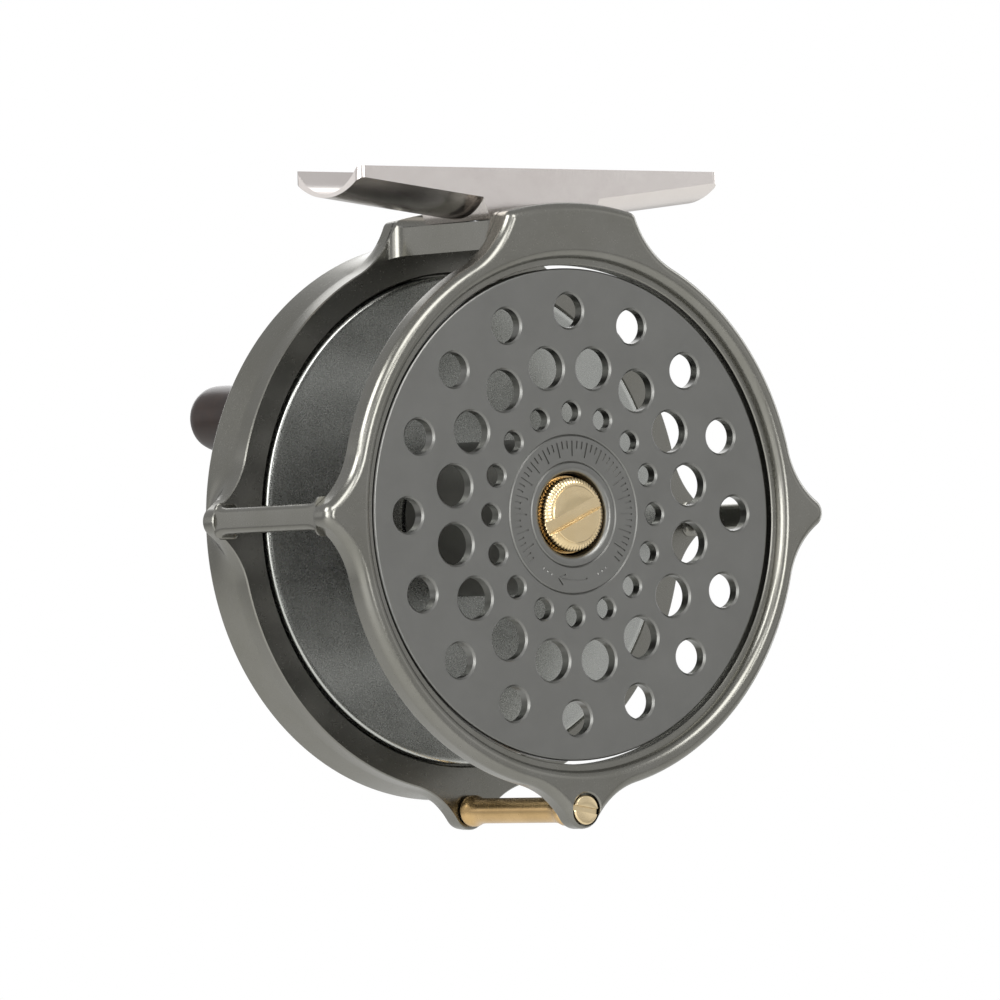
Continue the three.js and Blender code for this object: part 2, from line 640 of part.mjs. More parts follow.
place('frame', frame(), anodised);
place('reel_foot', foot(), satinSilver);
place('foot_screw_left', footScrew(-1), steel);
place('foot_screw_right', footScrew(1), steel);
place('line_roller', lineRoller(), agedBrass);
place('roller_screw', rollerScrew(), brightBrass);

place('drum_face_plate', drumFacePlate(), anodised);
place('drum_arbor', tube(ARBOR_BORE, ARBOR_RADIUS, DRUM_FACE_THICKNESS + GAP, DRUM_BACK_FRONT), darkAnodised);
place('drum_back_plate', drumBackPlate(), polishedAlloy);
place('drum_hub', drumHub(), agedBrass);
place('drum_screw', drumScrew(), brightBrass);

place('spindle', spindle(), steel);
place('spindle_nut', spindleNut(), brightBrass);
place('handle_plate', handlePlate(), anodised);
place('handle_pin', handlePin(), steel);
place('handle_collar', handleCollar(), brightBrass);
place('handle_knob', handleKnob(), brownResin);

place('race_cup', raceCup(), steel);
place('race_cone', raceCone(), steel);
place('ball_cage', ballCage(), agedBrass);
for (let i = 0; i < BALL_COUNT; i += 1) {
  const angle = i * TAU / BALL_COUNT;
  const ball = place(`ball_${String(i + 1).padStart(2, '0')}`, new THREE.SphereGeometry(BALL_RADIUS, 12, 8), steel);
  ball.position.set(BALL_CIRCLE * Math.cos(angle), BALL_Y, -BALL_CIRCLE * Math.sin(angle));
}

place('check_wheel', checkWheel(), steel);
place('check_pawl', checkPawl(), steel);
place('pawl_post', post(PAWL_X, PAWL_BACK + GAP, 2), agedBrass);
place('spring_post', post(SPRING_POST_X, 31.6, 1.5), agedBrass);
place('check_spring', checkSpring(), steel);
place('regulator_screw', regulatorScrew(), brightBrass);

group.position.set(0, -FOOT_MIDDLE_Y, -seatZ);

export default group;
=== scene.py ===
"""Looks of the fly reel: finely modelled metal pieces, their finishes, the studio and the camera.

Pieces are drawn in millimetres on the reel's own axis, as a turner would dimension them: x along
the foot, y from the drum's face to the handle, z up, all measured from the centre of the drum's
face. spot() moves such a place into the frame's metres. Colours are sRGB hex values.
"""

import bisect
import math

import bmesh
import bpy
from mathutils import Matrix, Vector


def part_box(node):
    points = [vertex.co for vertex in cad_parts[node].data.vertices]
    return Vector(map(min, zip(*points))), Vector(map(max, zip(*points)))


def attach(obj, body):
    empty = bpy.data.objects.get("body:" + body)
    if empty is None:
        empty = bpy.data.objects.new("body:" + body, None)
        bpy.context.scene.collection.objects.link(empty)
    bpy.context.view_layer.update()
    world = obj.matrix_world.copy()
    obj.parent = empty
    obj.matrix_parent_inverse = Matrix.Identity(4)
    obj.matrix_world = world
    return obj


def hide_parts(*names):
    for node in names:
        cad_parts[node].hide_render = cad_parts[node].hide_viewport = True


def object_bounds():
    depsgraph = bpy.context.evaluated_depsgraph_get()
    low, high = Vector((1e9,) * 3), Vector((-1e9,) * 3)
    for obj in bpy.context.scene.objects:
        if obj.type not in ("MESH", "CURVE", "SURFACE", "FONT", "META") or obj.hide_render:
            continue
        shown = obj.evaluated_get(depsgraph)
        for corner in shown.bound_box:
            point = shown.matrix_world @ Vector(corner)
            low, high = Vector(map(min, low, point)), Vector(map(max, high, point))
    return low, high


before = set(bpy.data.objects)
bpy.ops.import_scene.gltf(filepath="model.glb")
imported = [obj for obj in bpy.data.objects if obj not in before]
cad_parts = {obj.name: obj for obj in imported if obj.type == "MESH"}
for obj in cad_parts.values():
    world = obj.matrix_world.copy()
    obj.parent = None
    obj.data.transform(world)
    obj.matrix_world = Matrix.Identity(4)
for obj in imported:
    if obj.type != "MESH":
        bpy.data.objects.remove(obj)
cad_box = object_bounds()

# ---- the reel's own axis and driving sizes, from the frame ----

MM = 0.001
TURN = 2 * math.pi
X, Y, Z = 0, 1, 2
LOW, HIGH = 0, 1
SPARE = 1                         # how far a cutter runs past the face it opens, in millimetres
FACE_LOW, FACE_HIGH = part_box("drum_face_plate")
AXIS = Vector(((FACE_LOW.x + FACE_HIGH.x) / 2, FACE_LOW.y, (FACE_LOW.z + FACE_HIGH.z) / 2))


def spot(x, y, z):
    """A place on the reel's own axis, in millimetres, as a place in the frame, in metres."""
    return AXIS + Vector((x, y, z)) * MM


def reach(node, axis, side):
    """How far a CAD node's low or high side lies from the reel's own axis, in millimetres."""
    return (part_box(node)[side][axis] - AXIS[axis]) / MM


def middle(node, axis):
    """The middle of a CAD node along an axis, in millimetres."""
    return (reach(node, axis, LOW) + reach(node, axis, HIGH)) / 2


RING_FRONT = reach("frame", Y, LOW)
HOUSING_BACK = reach("frame", Y, HIGH)
FOOT_TOP = reach("reel_foot", Z, HIGH)
FOOT_BOTTOM = reach("reel_foot", Z, LOW)
FOOT_FRONT = reach("reel_foot", Y, LOW)
FOOT_BACK = reach("reel_foot", Y, HIGH)
FOOT_HALF_LENGTH = reach("reel_foot", X, HIGH)
FOOT_MIDDLE_Y = (FOOT_FRONT + FOOT_BACK) / 2
FOOT_HALF_WIDTH = (FOOT_BACK - FOOT_FRONT) / 2
ROLLER_Z = middle("line_roller", Z)
ROLLER_START = reach("line_roller", Y, LOW)
ROLLER_END = reach("line_roller", Y, HIGH)
KNOB_X = middle("handle_knob", X)
KNOB_Z = middle("handle_knob", Z)
KNOB_START = reach("handle_knob", Y, LOW)
KNOB_END = reach("handle_knob", Y, HIGH)
DRUM_RADIUS = reach("drum_face_plate", X, HIGH)
DRUM_THICKNESS = reach("drum_face_plate", Y, HIGH)
DRUM_BACK_RADIUS = reach("drum_back_plate", X, HIGH)
DRUM_BACK_FRONT = reach("drum_back_plate", Y, LOW)
DRUM_BACK_BACK = reach("drum_back_plate", Y, HIGH)
HANDLE_PLATE_RADIUS = reach("handle_plate", X, HIGH)
HANDLE_PLATE_FRONT = reach("handle_plate", Y, LOW)
HANDLE_PLATE_BACK = reach("handle_plate", Y, HIGH)
NUT_START = reach("spindle_nut", Y, LOW)
NUT_END = reach("spindle_nut", Y, HIGH)
REGULATOR_Y = middle("regulator_screw", Y)
FOOT_SCREW_X = 5.5
TROUGH_RADIUS = 9.2
SEAT = FOOT_TOP - 3.6             # the lowest line of the foot's trough

# Frame outline: radius of the round, and each lobe's half angle, centre, tip and fillet radii
RING_RADIUS = 39.1
RING_BACK = 2.1
PLATE_FRONT = 25.9
PLATE_BACK = 29.6
BORE_RADIUS = 35.2
SIDE_LOBE = (0.0, 41.7, 2.2, 12.0)
TOP_LOBE = (math.radians(13.7), 42.6, 1.4, 13.3)
BOTTOM_LOBE = (0.0, 41.55, 2.75, 12.0)
BRIDGE_HALF = 12.0
BRIDGE_TOP = 41.55


# ---- the studio and the camera: angles in degrees, lengths in metres ----

AZIMUTH = -37
ELEVATION = -1.2
ROLL = -1.24
DISTANCE = 1.437
FOCAL = 10.2                      # focal length over the sensor's width
AIM_LEFT = 0.01028                # the camera aims a little to the left of the drum's centre
AIM_UP = 0.00225
SURROUNDINGS = (0.63, 0.63, 0.635, 1)
FLOOR_DROP = 0.35


def direction(azimuth, elevation):
    """The way from the reel towards an azimuth and elevation; azimuth 0 faces the drum."""
    a, e = math.radians(azimuth), math.radians(elevation)
    return Vector((math.sin(a) * math.cos(e), -math.cos(a) * math.cos(e), math.sin(e)))


def make_camera():
    """A long lens at the viewing angle, rolled slightly, aimed a little left of the drum's centre."""
    back = direction(AZIMUTH, ELEVATION)
    right = direction(AZIMUTH + 90, 0)
    up = back.cross(right)
    turn = Matrix.Rotation(math.radians(ROLL), 3, "Z")
    place = AXIS + back * DISTANCE
    aim = AXIS - right * AIM_LEFT + up * AIM_UP
    look = (place - aim).to_track_quat("Z", "Y").to_matrix() @ turn
    data = bpy.data.cameras.new("camera")
    data.sensor_width = 36
    data.lens = FOCAL * data.sensor_width
    data.clip_start = 0.01
    data.clip_end = 100
    camera = bpy.data.objects.new("camera", data)
    camera.matrix_world = Matrix.Translation(place) @ look.to_4x4()
    bpy.context.scene.collection.objects.link(camera)
    bpy.context.scene.camera = camera


def soft_box(name, azimuth, elevation, distance, width, height, power):
    """A white area light that faces the reel; its power is in watts."""
    back = direction(azimuth, elevation)
    data = bpy.data.lights.new(name, "AREA")
    data.shape = "RECTANGLE"
    data.size = width
    data.size_y = height
    data.energy = power
    lamp = bpy.data.objects.new(name, data)
    lamp.location = AXIS + back * distance
    lamp.rotation_mode = "QUATERNION"
    lamp.rotation_quaternion = back.to_track_quat("Z", "Y")
    bpy.context.scene.collection.objects.link(lamp)


def make_studio():
    """White surroundings for the camera, dimmer ones for reflections, soft boxes and a pale floor."""
    world = bpy.data.worlds.new("studio")
    world.use_nodes = True
    tree = world.node_tree
    tree.nodes.clear()
    path = add(tree, "ShaderNodeLightPath")
    reflected = add(tree, "ShaderNodeBackground", {"Color": SURROUNDINGS})
    seen = add(tree, "ShaderNodeBackground", {"Color": (1, 1, 1, 1)})
    both = add(tree, "ShaderNodeMixShader", {
        0: path.outputs["Is Camera Ray"], 1: reflected.outputs[0], 2: seen.outputs[0]})
    add(tree, "ShaderNodeOutputWorld", {"Surface": both.outputs[0]})
    bpy.context.scene.world = world
    bpy.context.scene.view_settings.view_transform = "Standard"
    soft_box("left_box", -70, 8, 1.4, 0.75, 0.8, 11)
    soft_box("left_high_box", -92, 38, 1.4, 0.85, 0.6, 12)
    soft_box("left_low_box", -100, -25, 1.4, 0.5, 0.5, 2)
    soft_box("left_back_box", -143, 8, 1.4, 0.4, 0.5, 0.25)
    soft_box("left_front_box", -42, 6, 1.4, 0.45, 1.2, 2.5)
    soft_box("front_box", 5, 8, 1.4, 0.45, 0.6, 5)
    soft_box("front_high_box", -2, 42, 1.4, 0.9, 0.6, 9)
    soft_box("right_front_box", 50, 12, 1.4, 0.45, 0.9, 0.6)
    soft_box("right_box", 100, 10, 1.4, 0.45, 1.4, 5)
    soft_box("back_box", 150, 25, 1.5, 1.0, 1.0, 5)
    deselect()
    bpy.ops.mesh.primitive_plane_add(size=6, location=(0, 0, cad_box[0].z - FLOOR_DROP))
    floor = bpy.context.object
    floor.name = "floor"
    mat, tree = new_material("pale_studio_floor")
    matt = add(tree, "ShaderNodeBsdfPrincipled", {"Base Color": linear("#d3d3d1"), "Roughness": 0.8})
    add(tree, "ShaderNodeOutputMaterial", {"Surface": matt.outputs[0]})
    floor.data.materials.append(mat)


# ---- small tools for meshes ----

def deselect():
    """Deselects everything."""
    bpy.ops.object.select_all(action="DESELECT")


def choose(piece):
    """Selects one piece and makes it the active one."""
    deselect()
    piece.select_set(True)
    bpy.context.view_layer.objects.active = piece


def traced(name, points, closed=False):
    """A line of vertices through places in the frame, drawn by extruding one vertex along it."""
    deselect()
    bpy.ops.mesh.primitive_plane_add(size=MM, location=points[0])
    piece = bpy.context.object
    piece.name = name
    bpy.ops.object.transform_apply(location=True, rotation=False, scale=False)
    bpy.ops.object.mode_set(mode="EDIT")
    bpy.ops.mesh.merge(type="CENTER")
    stops = points[1:] + ([points[0]] if closed else [])
    for start, stop in zip(points, stops):
        bpy.ops.mesh.extrude_vertices_move(TRANSFORM_OT_translate={"value": stop - start})
    bpy.ops.mesh.select_all(action="SELECT")
    bpy.ops.mesh.remove_doubles(threshold=1e-7)
    bpy.ops.object.mode_set(mode="OBJECT")
    return piece


def tidy_normals(piece):
    """Merges the doubles of a closed skin and turns its faces outwards."""
    choose(piece)
    bpy.ops.object.mode_set(mode="EDIT")
    bpy.ops.mesh.select_all(action="SELECT")
    bpy.ops.mesh.remove_doubles(threshold=1e-6)
    bpy.ops.mesh.dissolve_degenerate(threshold=1e-7)
    bpy.ops.mesh.normals_make_consistent(inside=False)
    bpy.ops.object.mode_set(mode="OBJECT")


def faced(name, places):
    """A closed outline through places in the frame, filled with one face and left in edit mode."""
    piece = traced(name, places, closed=True)
    bpy.ops.object.mode_set(mode="EDIT")
    bpy.ops.mesh.select_all(action="SELECT")
    bpy.ops.mesh.edge_face_add()
    return piece


def extrude(x, y, z):
    """Extrudes the selected faces by a push in millimetres."""
    bpy.ops.mesh.extrude_region_move(TRANSFORM_OT_translate={"value": (x * MM, y * MM, z * MM)})


def end_editing(piece):
    """Leaves edit mode, with the piece's skin closed and its faces outwards."""
    bpy.ops.object.mode_set(mode="OBJECT")
    tidy_normals(piece)
    return piece


def filled(name, places, push):
    """A solid from a closed outline through places in the frame and a push in millimetres."""
    piece = faced(name, places)
    extrude(*push)
    return end_editing(piece)


def turned(name, profile, steps=192, centre=(0, 0), closed=False):
    """A piece turned on the lathe: a profile of (radius, y) spun round an axis along Y."""
    x, z = centre
    piece = traced(name, [spot(x + r, y, z) for r, y in profile], closed)
    bpy.ops.object.mode_set(mode="EDIT")
    bpy.ops.mesh.select_all(action="SELECT")
    bpy.ops.mesh.spin(steps=steps, angle=TURN, center=spot(x, 0, z), axis=(0, 1, 0))
    return end_editing(piece)


def rod(name, radius, start, end, steps=48, centre=(0, 0)):
    """A plain cylinder along Y."""
    return turned(name, [(0, start), (radius, start), (radius, end), (0, end)], steps, centre)


def curve_in(corner, radius, start, stop, steps=5):
    """Points of a quarter or other arc of a profile round a centre, angles in degrees."""
    cx, cy = corner
    angles = [math.radians(start + (stop - start) * i / steps) for i in range(steps + 1)]
    return [(cx + radius * math.cos(a), cy + radius * math.sin(a)) for a in angles]


def rounded_corners(half_width, half_height, corner, steps):
    """The outline of a rectangle about (0, 0) with rounded corners."""
    points = []
    for i, (u, v) in enumerate(((1, 1), (-1, 1), (-1, -1), (1, -1))):
        centre = (u * (half_width - corner), v * (half_height - corner))
        points += curve_in(centre, corner, 90 * i, 90 * (i + 1), steps)
    return points


def plate(name, outline, y_start, y_end, front_round=0.0, back_round=0.0, segments=5):
    """A flat piece from an outline of (x, z), with its front and back edges rounded."""
    piece = filled(name, [spot(x, y_start, z) for x, z in outline], (0, y_end - y_start, 0))
    for y, width in ((y_start, front_round), (y_end, back_round)):
        if width:
            round_edges_at(piece, y, width, segments)
    return piece


def round_edges_at(piece, y, width, segments):
    """Bevels the edges that lie wholly in the plane at y."""
    plane = spot(0, y, 0).y
    mesh = piece.data
    choose(piece)
    bpy.ops.object.mode_set(mode="EDIT")
    bpy.ops.mesh.select_all(action="DESELECT")
    bpy.ops.mesh.select_mode(type="EDGE")
    bpy.ops.object.mode_set(mode="OBJECT")
    for edge in mesh.edges:
        edge.select = all(abs(mesh.vertices[v].co.y - plane) < 1e-7 for v in edge.vertices)
    bpy.ops.object.mode_set(mode="EDIT")
    bpy.ops.mesh.bevel(offset=width * MM, offset_type="OFFSET", segments=segments, profile=0.5,
                       affect="EDGES", clamp_overlap=False)
    bpy.ops.mesh.select_mode(type="VERT")
    bpy.ops.object.mode_set(mode="OBJECT")


def block(name, low, high):
    """A cube primitive stretched between two corners in millimetres."""
    a, b = spot(*low), spot(*high)
    deselect()
    bpy.ops.mesh.primitive_cube_add(size=1, location=(a + b) / 2, scale=b - a)
    piece = bpy.context.object
    piece.name = name
    bpy.ops.object.transform_apply(location=True, rotation=True, scale=True)
    return piece


def turn_about(piece, angle, axis="Y", pivot=AXIS):
    """Turns a finished mesh by an angle in degrees, right-handed about an axis through a pivot."""
    move = Matrix.Translation(pivot)
    piece.data.transform(move @ Matrix.Rotation(math.radians(angle), 4, axis) @ move.inverted())


def shift(piece, x, y, z):
    """Moves a finished mesh by millimetres."""
    piece.data.transform(Matrix.Translation((x * MM, y * MM, z * MM)))


def joined(pieces):
    """Joins pieces into the first one."""
    deselect()
    for piece in pieces:
        piece.select_set(True)
    bpy.context.view_layer.objects.active = pieces[0]
    bpy.ops.object.join()
    return pieces[0]


def combine(piece, tool, operation):
    """Joins, cuts or crosses a piece with a tool, and takes the tool away."""
    choose(piece)
    boolean = piece.modifiers.new("combine", "BOOLEAN")
    boolean.operation = operation
    boolean.solver = "EXACT"
    boolean.object = tool
    bpy.ops.object.modifier_apply(modifier=boolean.name)
    bpy.data.objects.remove(tool)
    return piece


def cut(piece, tool):
    """Takes a tool's shape out of a piece."""
    return combine(piece, tool, "DIFFERENCE")


def weld(piece, tool):
    """Adds a tool's shape to a piece."""
    return combine(piece, tool, "UNION")


def soften(piece, width, segments=3, angle=35):
    """Rounds every edge sharper than an angle, by a width in millimetres."""
    choose(piece)
    bevel = piece.modifiers.new("soften", "BEVEL")
    bevel.width = width * MM
    bevel.segments = segments
    bevel.limit_method = "ANGLE"
    bevel.angle_limit = math.radians(angle)
    bpy.ops.object.modifier_apply(modifier=bevel.name)


def ring_of(tool, count):
    """Copies a tool round the reel's axis, and joins the copies."""
    copies = [tool]
    for i in range(1, count):
        copy = tool.copy()
        copy.data = tool.data.copy()
        bpy.context.scene.collection.objects.link(copy)
        turn_about(copy, 360 * i / count)
        copies.append(copy)
    return joined(copies)


def present(piece, body, material, replaces=(), smooth=32):
    """Finishes a piece: smooth shading up to an angle, its material and body, and hides the CAD nodes it
    replaces.
    """
    choose(piece)
    bpy.ops.object.shade_smooth_by_angle(angle=math.radians(smooth))
    even = piece.modifiers.new("even_normals", "WEIGHTED_NORMAL")
    even.weight = 100
    even.keep_sharp = True
    bpy.ops.object.modifier_apply(modifier=even.name)
    piece.data.materials.clear()
    piece.data.materials.append(material)
    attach(piece, body)
    if replaces:
        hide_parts(*replaces)
    return piece


# ---- materials ----

def linear(hex_colour):
    """An sRGB hex colour as the linear RGBA that a shader socket takes."""
    channels = [int(hex_colour[i:i + 2], 16) / 255 for i in (1, 3, 5)]
    return tuple(c / 12.92 if c <= 0.04045 else ((c + 0.055) / 1.055) ** 2.4 for c in channels) + (1,)


def add(tree, kind, sockets=None, **settings):
    """Adds a node with its settings; a socket takes a value or another node's output."""
    node = tree.nodes.new(kind)
    for name, value in settings.items():
        setattr(node, name, value)
    for socket, value in (sockets or {}).items():
        if isinstance(value, bpy.types.NodeSocket):
            tree.links.new(value, node.inputs[socket])
        else:
            node.inputs[socket].default_value = value
    return node


def new_material(name):
    """An empty material and its node tree."""
    mat = bpy.data.materials.new(name)
    mat.use_nodes = True
    mat.node_tree.nodes.clear()
    return mat, mat.node_tree


def in_millimetres(tree, centre=(0, 0)):
    """Object coordinates counted in millimetres from an axis along Y."""
    place = add(tree, "ShaderNodeTexCoord")
    zero = spot(centre[0], 0, centre[1])
    mapped = add(tree, "ShaderNodeMapping", {
        "Vector": place.outputs["Object"],
        "Location": tuple(-c / MM for c in zero),
        "Scale": (1 / MM, 1 / MM, 1 / MM),
    })
    return mapped.outputs[0]


def worn_metal(name, colour, other, roughness, bump=0.04, worn=None):
    """A metal with cloudy tarnish, fine handling marks and, in a worn colour, rubbed specks.

    Clouds are about 8 mm across, the grain about 0.3 mm, and the handling marks about 0.5 mm
    before they are stretched. bump is the depth of grain and marks in millimetres.
    """
    mat, tree = new_material(name)
    mm = in_millimetres(tree)
    clouds = add(tree, "ShaderNodeTexNoise", {"Vector": mm, "Scale": 0.12, "Detail": 5, "Roughness": 0.6})
    grain = add(tree, "ShaderNodeTexNoise", {"Vector": mm, "Scale": 3.2, "Detail": 4, "Roughness": 0.65})
    streaks = add(tree, "ShaderNodeMapping", {
        "Vector": mm, "Scale": (0.35, 2.6, 0.5), "Rotation": (0.3, 0.5, 0.9)})
    marks = add(tree, "ShaderNodeTexNoise", {
        "Vector": streaks.outputs[0], "Scale": 2.0, "Detail": 6, "Roughness": 0.7})
    fine = add(tree, "ShaderNodeMath", {0: marks.outputs[0], 1: grain.outputs[0]}, operation="MULTIPLY")
    tarnish = add(tree, "ShaderNodeMapRange", {"Value": clouds.outputs[0], "To Min": -0.4, "To Max": 1.4})
    tint = add(tree, "ShaderNodeMix", {
        0: tarnish.outputs[0], 6: linear(colour), 7: linear(other)}, data_type="RGBA").outputs[2]
    if worn:
        specks = add(tree, "ShaderNodeMapRange", {
            "Value": grain.outputs[0], "From Min": 0.66, "From Max": 0.74, "To Max": 0.35})
        tint = add(tree, "ShaderNodeMix", {
            0: specks.outputs[0], 6: tint, 7: linear(worn)}, data_type="RGBA").outputs[2]
    rough = add(tree, "ShaderNodeMapRange", {
        "Value": fine.outputs[0], "To Min": roughness * 0.72, "To Max": roughness * 1.45})
    dents = add(tree, "ShaderNodeBump", {
        "Height": fine.outputs[0], "Strength": 0.35, "Distance": bump * MM})
    metal = add(tree, "ShaderNodeBsdfPrincipled", {
        "Base Color": tint, "Roughness": rough.outputs[0], "Metallic": 1.0, "Normal": dents.outputs[0]})
    add(tree, "ShaderNodeOutputMaterial", {"Surface": metal.outputs[0]})
    return mat


def brown_resin():
    """Polished dark brown casein: 2 mm mottling under a clear polish with 0.25 mm scuffs."""
    mat, tree = new_material("polished_brown_resin")
    mm = in_millimetres(tree, (KNOB_X, KNOB_Z))
    mottle = add(tree, "ShaderNodeTexNoise", {"Vector": mm, "Scale": 0.45, "Detail": 6, "Roughness": 0.6})
    scuffs = add(tree, "ShaderNodeTexNoise", {"Vector": mm, "Scale": 4.0, "Detail": 5, "Roughness": 0.7})
    amount = add(tree, "ShaderNodeMapRange", {"Value": mottle.outputs[0], "To Min": -0.3, "To Max": 1.3})
    tint = add(tree, "ShaderNodeMix", {
        0: amount.outputs[0], 6: linear("#191312"), 7: linear("#271c17")}, data_type="RGBA")
    rough = add(tree, "ShaderNodeMapRange", {"Value": scuffs.outputs[0], "To Min": 0.2, "To Max": 0.42})
    dents = add(tree, "ShaderNodeBump", {
        "Height": scuffs.outputs[0], "Strength": 0.15, "Distance": 0.03 * MM})
    polish = add(tree, "ShaderNodeBsdfPrincipled", {
        "Base Color": tint.outputs[2], "Roughness": rough.outputs[0], "Normal": dents.outputs[0],
        "IOR": 1.53, "Specular IOR Level": 0.28})
    add(tree, "ShaderNodeOutputMaterial", {"Surface": polish.outputs[0]})
    return mat


def make_materials():
    """Every finish of the reel, under the name that its pieces ask for."""
    return {
        # Satin lead-grey anodising on alloy: soft, slightly warm reflections with rubbed specks
        "anodised": worn_metal(
            "satin_lead_anodised_alloy", "#807f7a", "#77766f", 0.28, bump=0.006, worn="#a5a49d"),
        # The same on the flat, fine-blasted faces of the drum and the handle plate
        "blasted": worn_metal(
            "blasted_lead_anodised_alloy", "#7a7a77", "#72726f", 0.36, bump=0.02, worn="#a09f99"),
        # Unpolished dark anodising of the arbor
        "dark": worn_metal("dark_anodised_alloy", "#4b4a47", "#42413e", 0.45),
        # Polished and anodised dish of the drum's back plate: cool, with blurred reflections
        "dish": worn_metal("polished_anodised_alloy", "#b8b9b5", "#a6a8a4", 0.3, bump=0.0025),
        # Satin nickel silver of the foot, brighter and warmer than the frame
        "silver": worn_metal(
            "satin_nickel_silver", "#e4deda", "#dad3cf", 0.24, bump=0.03, worn="#b0aaa3"),
        # Bright turned brass of the screws
        "brass": worn_metal("bright_turned_brass", "#e0ceaa", "#d3bb8e", 0.25, worn="#8a6a3a"),
        # Browned brass of the roller and inner fittings
        "old_brass": worn_metal("browned_brass", "#d8b784", "#b09262", 0.28, worn="#5f4a2c"),
        # Ground bearing and spring steel
        "steel": worn_metal("ground_steel", "#c3c5c8", "#aeb0b4", 0.22),
        # Turned and polished handle grip
        "resin": brown_resin(),
    }


# ---- frame ----

def arc(x, z, radius, start, stop, step):
    """Points of an arc of an outline, without its last point; angles in radians."""
    count = max(2, math.ceil(abs(stop - start) / step))
    angles = [start + (stop - start) * i / count for i in range(count)]
    return [(x + radius * math.cos(a), z + radius * math.sin(a)) for a in angles]


def lobe(axis, shape):
    """One lobe: a hollow fillet up from the round, its tip, and a fillet down again."""
    half, centre, tip, fillet = shape
    out = RING_RADIUS + fillet
    foot = half + math.acos((out ** 2 + centre ** 2 - (tip + fillet) ** 2) / (2 * out * centre))
    corner = Vector((centre * math.cos(half), centre * math.sin(half)))
    hollow = Vector((out * math.cos(foot), out * math.sin(foot)))
    turn = math.atan2(hollow.y - corner.y, corner.x - hollow.x)
    points = arc(hollow.x, -hollow.y, fillet, math.pi - foot, turn, 0.025)
    points += arc(corner.x, -corner.y, tip, turn - math.pi, -half, 0.12)
    if half:
        points += arc(0, 0, centre + tip, -half, half, 0.02)
    points += arc(corner.x, corner.y, tip, half, math.pi - turn, 0.12)
    points += arc(hollow.x, hollow.y, fillet, -turn, foot - math.pi, 0.025)
    c, s = math.cos(axis), math.sin(axis)
    return axis - foot, axis + foot, [(x * c - z * s, x * s + z * c) for x, z in points]


def frame_outline():
    """The casting's outline: four lobes, joined by arcs of the round."""
    quarter = math.pi / 2
    lobes = [lobe(0, SIDE_LOBE), lobe(quarter, TOP_LOBE), lobe(2 * quarter, SIDE_LOBE),
             lobe(3 * quarter, BOTTOM_LOBE)]
    outline = []
    for i, (_, end, points) in enumerate(lobes):
        following = lobes[(i + 1) % 4][0] + (TURN if i == 3 else 0)
        outline += points + arc(0, 0, RING_RADIUS, end, following, 0.02)
    return outline


def pillar(side):
    """A rounded bar whose ends flare a little into the plates: extruded and resized in steps."""
    height, inner, outer, corner = 3.7, 40.0, 43.45, 0.9
    near_flare, far_flare = (2.6, 0.9), (2.2, 0.75)
    sunk = 0.4
    start, end = RING_BACK - 0.5, PLATE_FRONT + 0.3
    depth, length_between = outer - inner, end - start
    section = rounded_corners(depth / 2, height / 2, corner, 6)
    places = [spot(side * ((inner + outer) / 2 + x), start, z) for x, z in section]
    piece = faced("pillar", places)
    pivot = spot(side * outer, 0, 0)

    def grown(along):
        is_near = along < length_between / 2
        (length, rise), away = (near_flare, along) if is_near else (far_flare, length_between - along)
        near = 1 - min(max(away - sunk, 0), length) / length
        extra = rise * (1 - math.sqrt(1 - near ** 2))
        return (depth + extra) / depth, (height + 2 * extra) / height

    def resize(before, after):
        factors = (after[0] / before[0], 1, after[1] / before[1])
        bpy.ops.transform.resize(value=factors, center_override=pivot)

    shares = (0, 0.01, 0.04, 0.1, 0.2, 0.35, 0.55, 0.8, 1.0)
    near = [0] + [sunk + near_flare[0] * share for share in shares]
    far = [0] + [sunk + far_flare[0] * share for share in shares]
    stations = near + [length_between - step for step in reversed(far)]
    resize((1, 1), grown(0))
    for before, after in zip(stations, stations[1:]):
        extrude(0, after - before, 0)
        resize(grown(before), grown(after))
    return end_editing(piece)


def bridge(outline):
    """The saddle between the top lobes, with fillets up and out to each lobe, arched below."""
    fillet, low, lift, half, steps = 1.9, 36.0, 2.6, BRIDGE_HALF - 1.0, 8
    overlap, beyond = 0.5, 4
    front, back = RING_BACK, PLATE_FRONT
    side_view = [(front - overlap, low), (back + overlap, low), (back + overlap, BRIDGE_TOP + lift),
                 (back, BRIDGE_TOP + lift)]
    side_view += curve_in((back - fillet, BRIDGE_TOP + fillet), fillet, 0, -90, steps)
    side_view += curve_in((front + fillet, BRIDGE_TOP + fillet), fillet, -90, -180, steps)
    side_view += [(front, BRIDGE_TOP + lift), (front - overlap, BRIDGE_TOP + lift)]
    start = -BRIDGE_HALF - beyond
    saddle = filled("bridge", [spot(start, y, z) for y, z in side_view], (-2 * start, 0, 0))
    edge = [(half + fillet, back + overlap)]
    edge += curve_in((half + fillet, back - fillet), fillet, 90, 180, steps)
    edge += curve_in((half + fillet, front + fillet), fillet, 180, 270, steps)
    edge += [(half + fillet, front - overlap)]
    plan = edge + [(-x, y) for x, y in reversed(edge)]
    shape = filled("plan", [spot(x, y, low - SPARE) for x, y in plan], (0, 0, 12))
    saddle = combine(saddle, shape, "INTERSECT")
    saddle = combine(saddle, plate("lobes", outline, front - SPARE, back + SPARE), "INTERSECT")
    return cut(saddle, rod("arch", RING_RADIUS, -6, 40, 360))


